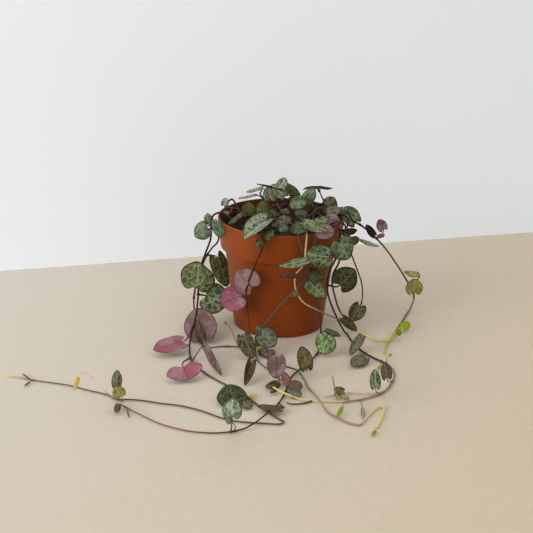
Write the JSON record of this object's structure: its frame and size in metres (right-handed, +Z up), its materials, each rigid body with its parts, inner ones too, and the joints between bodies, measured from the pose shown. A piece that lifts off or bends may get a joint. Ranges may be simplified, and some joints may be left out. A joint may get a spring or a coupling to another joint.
{
  "type": "potted string of hearts plant",
  "caption": "Trailing house plant with marbled heart-shaped leaves on thin stems that spill over the rim of a plain round plastic nursery pot.",
  "frame": {"origin": "middle of the pot's flat underside", "axes": "+Z up along the pot's axis; the picture was taken from -Y, with +X to its right"},
  "size_m": [0.2066, 0.2033, 0.0773],
  "materials": {
    "pot": "terracotta-coloured moulded plastic with a soft sheen",
    "soil": "dark crumbly peat compost",
    "foliage": "dark green succulent leaves marbled silver, pink-mauve undersides, thin brown-purple stems"
  },
  "bodies": {
    "root": {"pot": "pot", "soil": "soil", "left_strand": "foliage", "back_left_strand": "foliage", "front_left_strand": "foliage", "diagonal_strand": "foliage", "front_strand": "foliage", "pale_strand": "foliage", "right_strand": "foliage", "budding_strand": "foliage", "right_back_strand": "foliage", "right_arc": "foliage", "left_shoot": "foliage", "back_left_shoot": "foliage", "back_shoot": "foliage", "back_right_shoot": "foliage", "middle_shoot": "foliage", "right_shoot": "foliage", "front_shoot": "foliage"}
  },
  "joints": []
}
